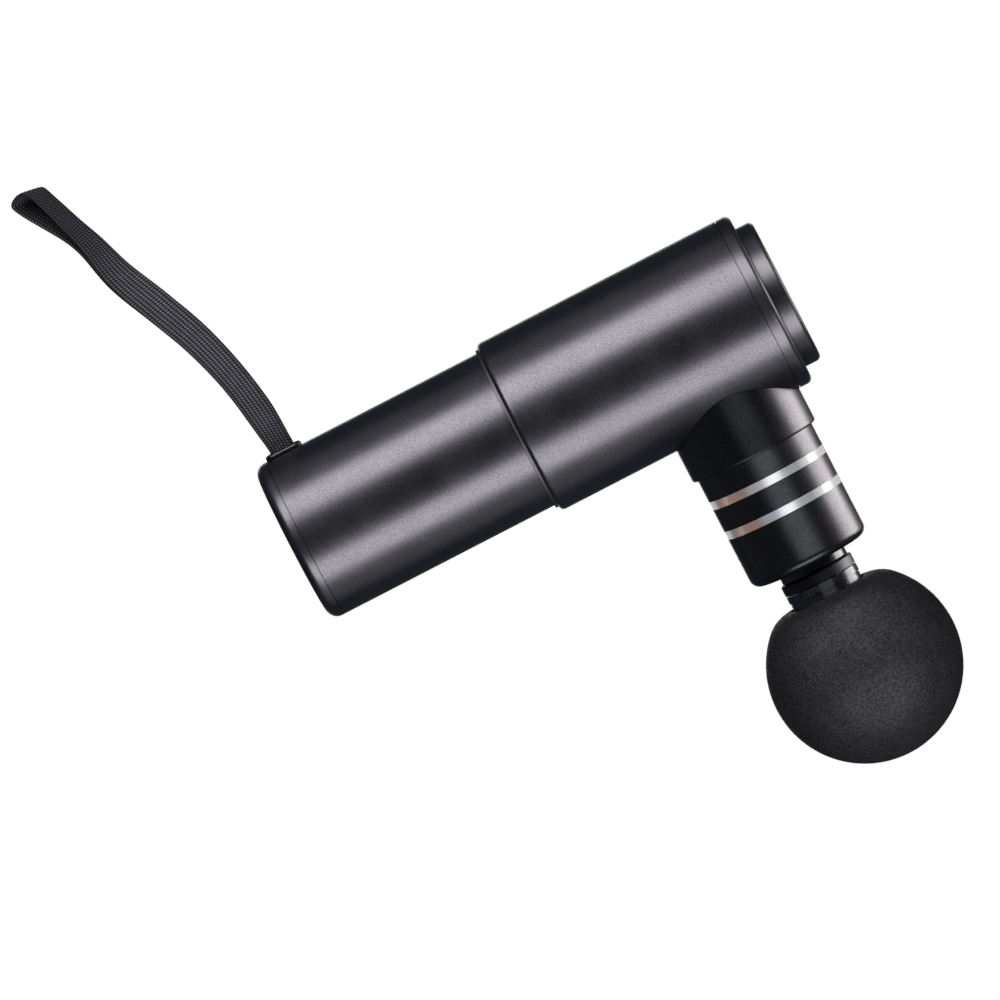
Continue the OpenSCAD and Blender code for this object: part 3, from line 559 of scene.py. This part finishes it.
# The sphere rounds over from this radius to its flat top, which has a seat and a bore for the stem.
SHOULDER_X = 11.0
SEAT_R = 10.1
SEAT_H = 1.05
CORE_R = 5.05
CORE_Z = -5.0
BALL_STEP = 0.4
SHOULDER_STEPS = 12
# The skin's unevenness: how high and how wide its two sizes of bump are.
SKIN_BUMPS = ((0.03, 1.1), (0.015, 0.45))


def ball_profile():
    """The ball's outline from its lowest point up to the seat of the stem and down the core."""
    shoulder_r = (BALL_R ** 2 - BALL_FLAT ** 2 - SHOULDER_X ** 2) / (2 * (BALL_R - BALL_FLAT))
    shoulder_z = BALL_FLAT - shoulder_r
    meet = math.atan2(shoulder_z, SHOULDER_X)
    steps = int((meet + math.pi / 2) * BALL_R / BALL_STEP)
    turn = np.linspace(-math.pi / 2, meet, steps)[1:]
    sphere = np.stack([BALL_R * np.cos(turn), BALL_R * np.sin(turn)], -1)
    turn = np.linspace(meet, math.pi / 2, SHOULDER_STEPS)[1:]
    shoulder = np.stack([SHOULDER_X + shoulder_r * np.cos(turn),
                         shoulder_z + shoulder_r * np.sin(turn)], -1)
    seat = [(SEAT_R, BALL_FLAT), (SEAT_R, BALL_FLAT - SEAT_H), (CORE_R, BALL_FLAT - SEAT_H),
            (CORE_R, CORE_Z)]
    return np.concatenate([sphere, shoulder]), np.array(seat)


def make_ball():
    """The foam ball with its uneven skin."""
    skin, seat = ball_profile()
    outline = np.concatenate([skin, seat])
    count = int(2 * math.pi * BALL_R / BALL_STEP)
    turn = np.linspace(0, 2 * math.pi, count, endpoint=False)
    ring = np.stack([np.cos(turn), np.sin(turn)], -1)
    level = np.repeat(outline[:, None, 1:], count, 1)
    points = np.concatenate([outline[:, None, :1] * ring[None], level], -1)
    for index in range(len(skin)):
        for point in points[index]:
            lift = sum(height * noise.noise(Vector(point) / size) for height, size in SKIN_BUMPS)
            point *= 1 + lift / BALL_R
    points = points.reshape(-1, 3)
    poles = np.array([(0, 0, -BALL_R), (0, 0, CORE_Z)])
    low, high = len(points), len(points) + 1
    faces = grid_faces(len(outline), count, False, True).tolist()
    top = (len(outline) - 1) * count
    faces += [(low, (k + 1) % count, k) for k in range(count)]
    faces += [(high, top + k, top + (k + 1) % count) for k in range(count)]
    mesh_points = (np.concatenate([points, poles]) + BALL_PLACE) * MM
    ball = add_mesh("foam_ball_skin", mesh_points, np.array(faces, dtype=object), "foam")
    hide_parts("foam_ball")
    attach(ball, "ball_head")


make_ball()

# ---------------------------------------------------------------- dial spring

# The wire is as thick as the CAD spring's.
WIRE_R = 0.3
SPRING_TURNS = 3.5
TURN_STEPS = 40
WIRE_STEPS = 12


def make_spring():
    """The spring behind the control disc, a coil of wire attached to the shell."""
    low, high = (np.array(corner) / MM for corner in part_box("dial_spring"))
    coil_r = (high[1] - low[1]) / 2 - WIRE_R
    start, end = low[0] + WIRE_R, high[0] - WIRE_R
    turn = np.linspace(0, 2 * math.pi * SPRING_TURNS, int(SPRING_TURNS * TURN_STEPS) + 1)
    out = np.stack([np.zeros(len(turn)), np.cos(turn), np.sin(turn)], -1)
    middle = out * coil_r
    middle[:, 0] = np.linspace(start, end, len(turn))
    around = np.linspace(0, 2 * math.pi, WIRE_STEPS, endpoint=False)
    outward = (WIRE_R * np.cos(around))[None, :, None] * out[:, None]
    forward = (WIRE_R * np.sin(around))[None, :, None] * np.array([1.0, 0.0, 0.0])
    points = middle[:, None] + outward + forward
    faces = grid_faces(len(turn), WIRE_STEPS, False, True).tolist()
    last = (len(turn) - 1) * WIRE_STEPS
    faces.append(list(range(WIRE_STEPS))[::-1])
    faces.append([last + k for k in range(WIRE_STEPS)])
    faces = np.array(faces, dtype=object)
    spring = add_mesh("dial_spring_coil", points.reshape(-1, 3) * MM, faces, "steel")
    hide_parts("dial_spring")
    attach(spring, "shell")
    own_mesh(spring)


make_spring()

# ---------------------------------------------------------------- floor, lights and camera

TARGET = Vector((51.2, 0.0, -13.9)) * MM
CAMERA_PLACE = Vector((130.0, -3341.0, 202.0)) * MM
FRAME_WIDTH = 250.0 * MM
ROLL = math.radians(27.4)
FLOOR_SIZE = 120.0
FLOOR_Z = -0.3


def add_camera():
    """A long lens, level with the body and a little above it, rolled with the handheld pose."""
    data = bpy.data.cameras.new("camera")
    camera = bpy.data.objects.new("camera", data)
    bpy.context.scene.collection.objects.link(camera)
    look = (TARGET - CAMERA_PLACE).to_track_quat("-Z", "Y").to_matrix()
    turned = (look @ Matrix.Rotation(-ROLL, 3, "Z")).to_4x4()
    camera.matrix_world = Matrix.Translation(CAMERA_PLACE) @ turned
    data.angle = 2 * math.atan(FRAME_WIDTH / 2 / (TARGET - CAMERA_PLACE).length)
    data.clip_end = 2 * FLOOR_SIZE
    bpy.context.scene.camera = camera


def add_floor():
    """A plain pale floor, far below the hanging object."""
    bpy.ops.mesh.primitive_plane_add(size=FLOOR_SIZE, location=(0, 0, FLOOR_Z))
    floor = bpy.context.object
    floor.name = "floor"
    g = Graph("floor")
    glow = g.nodes.new("ShaderNodeEmission")
    glow.inputs["Color"].default_value = (1.0, 1.0, 1.0, 1.0)
    g.links.new(glow.outputs["Emission"], g.nodes["Material Output"].inputs["Surface"])
    floor.data.materials.append(g.material)
    floor.visible_glossy = False
    floor.visible_diffuse = False
    floor.visible_shadow = False


def add_softbox(name, direction, distance, size, glow, colour=(1, 1, 1), only=()):
    """A rectangular soft light that faces the target from a direction; glow is its brightness."""
    data = bpy.data.lights.new(name, "AREA")
    data.shape = "RECTANGLE"
    data.size, data.size_y = size
    data.energy = glow * math.pi * size[0] * size[1]
    data.color = colour
    lamp = bpy.data.objects.new(name, data)
    bpy.context.scene.collection.objects.link(lamp)
    place = TARGET + Vector(direction).normalized() * distance
    lamp.location = place
    lamp.rotation_euler = (TARGET - place).to_track_quat("-Z", "Y").to_euler()
    lamp.visible_camera = False
    if only:
        lit = bpy.data.collections.new(name + "_lit")
        for piece in only:
            lit.objects.link(piece)
        lamp.light_linking.receiver_collection = lit
    return lamp


def around_x(degrees):
    """The direction that is this far above the camera's side, turned round the X axis."""
    return (0.0, -math.cos(math.radians(degrees)), math.sin(math.radians(degrees)))


def around_z(degrees):
    """The direction that is this far to the right of the camera's side, turned round the Z axis."""
    return (math.sin(math.radians(degrees)), -math.cos(math.radians(degrees)), 0.0)


WHITE = (1, 1, 1)
STUDIO = (1.01, 0.97, 1.07)


def add_body_lights(lit):
    """A strip above and one below the camera draw the two soft bands along the body."""
    add_softbox("upper_strip", around_x(51), 1.0, (1.8, 0.62), 11.6, STUDIO, lit)
    add_softbox("upper_tail", around_x(88), 1.0, (1.8, 0.7), 0.45, STUDIO, lit)
    add_softbox("lower_strip", around_x(-46), 1.0, (1.8, 0.56), 10.6, STUDIO, lit)
    add_softbox("lower_tail", around_x(-83), 1.0, (1.8, 0.7), 0.6, STUDIO, lit)


def add_neck_lights(body, barrel, collar, washer, stem, plunger):
    """A box at the right, a broad one behind the camera, and a faint one at the left for the neck."""
    neck = [barrel, collar, plunger, washer, stem]
    add_softbox("right_box", around_z(102), 0.9, (0.65, 0.7), 9.0, (1.04, 0.96, 1.0), neck)
    add_softbox("end_box", around_z(102), 0.9, (0.65, 0.7), 4.5, (1.02, 0.97, 0.97), body)
    add_softbox("front_card", around_z(9), 4.2, (3.2, 0.9), 3.4, (0.94, 0.97, 1.08), [barrel])
    add_softbox("shade_card", around_z(9), 4.2, (3.2, 0.9), 1.1, (0.9, 0.98, 1.1), [collar, stem, washer])
    add_softbox("neck_fill", around_z(-75), 0.9, (1.7, 0.8), 0.06, (1, 1, 1.1), neck)


def add_band_lights(bands):
    """The polished bands mirror a bright core, grey cards beside it and a warm card at the left."""
    add_softbox("band_core", around_z(8), 4.2, (2.3, 0.9), 2.0, (0.97, 0.99, 1.02), [bands])
    add_softbox("band_card", around_z(5), 4.4, (12.0, 2.5), 0.4, (0.97, 0.99, 1.0), [bands])
    add_softbox("band_right", around_z(112), 0.9, (2.0, 0.7), 0.65, WHITE, [bands])
    add_softbox("band_glint", around_z(98), 0.9, (0.3, 0.7), 1.6, WHITE, [bands])
    add_softbox("left_card", around_z(-86), 0.9, (1.3, 0.7), 0.27, (1.0, 0.52, 0.3), [bands])
    add_softbox("left_slit", around_z(-97), 0.8, (0.02, 0.6), 2.0, WHITE, [bands])
    add_softbox("edge_card", around_z(-152), 0.9, (0.7, 0.7), 0.6, WHITE, [bands])


def add_lights():
    """Each group of pieces has its own soft boxes, because the bands would burn out in the body's light."""
    strap = bpy.data.objects["strap_webbing"]
    ball = bpy.data.objects["foam_ball_skin"]
    bands = NODES["trim_rings"]
    neck = [NODES[name] for name in ("head_barrel", "neck_collar", "head_washer", "head_stem", "plunger")]
    barrel, collar, washer, stem, plunger = neck
    body = [node for node in NODES.values() if node not in (bands, *neck)]
    add_body_lights(body + [stem, strap, ball])
    add_neck_lights(body, *neck)
    add_band_lights(bands)
    add_softbox("ball_card", around_z(75), 0.9, (0.8, 0.8), 1.35, (1, 1, 1.05), [ball])
    add_softbox("neck_edge", around_x(-62), 1.0, (0.8, 0.3), 5.0, (0.9, 0.97, 1.1), [barrel, collar])
    add_softbox("back_card", (0.0, 1.0, 0.0), 1.6, (0.8, 0.8), 2.0)


def add_world():
    """A faint cool fill, with a pale backdrop where the camera looks past the floor."""
    world = bpy.data.worlds.new("world")
    bpy.context.scene.world = world
    world.use_nodes = True
    nodes = world.node_tree.nodes
    links = world.node_tree.links
    fill = nodes["Background"]
    fill.inputs["Color"].default_value = (0.72, 0.8, 1.1, 1.0)
    fill.inputs["Strength"].default_value = 0.06
    pale = nodes.new("ShaderNodeBackground")
    pale.inputs["Color"].default_value = (1.0, 1.0, 1.0, 1.0)
    choice = nodes.new("ShaderNodeMixShader")
    links.new(nodes.new("ShaderNodeLightPath").outputs["Is Camera Ray"], choice.inputs["Fac"])
    links.new(fill.outputs["Background"], choice.inputs[1])
    links.new(pale.outputs["Background"], choice.inputs[2])
    links.new(choice.outputs["Shader"], nodes["World Output"].inputs["Surface"])


add_floor()
add_lights()
add_world()
add_camera()
bpy.context.scene.view_settings.view_transform = "Standard"
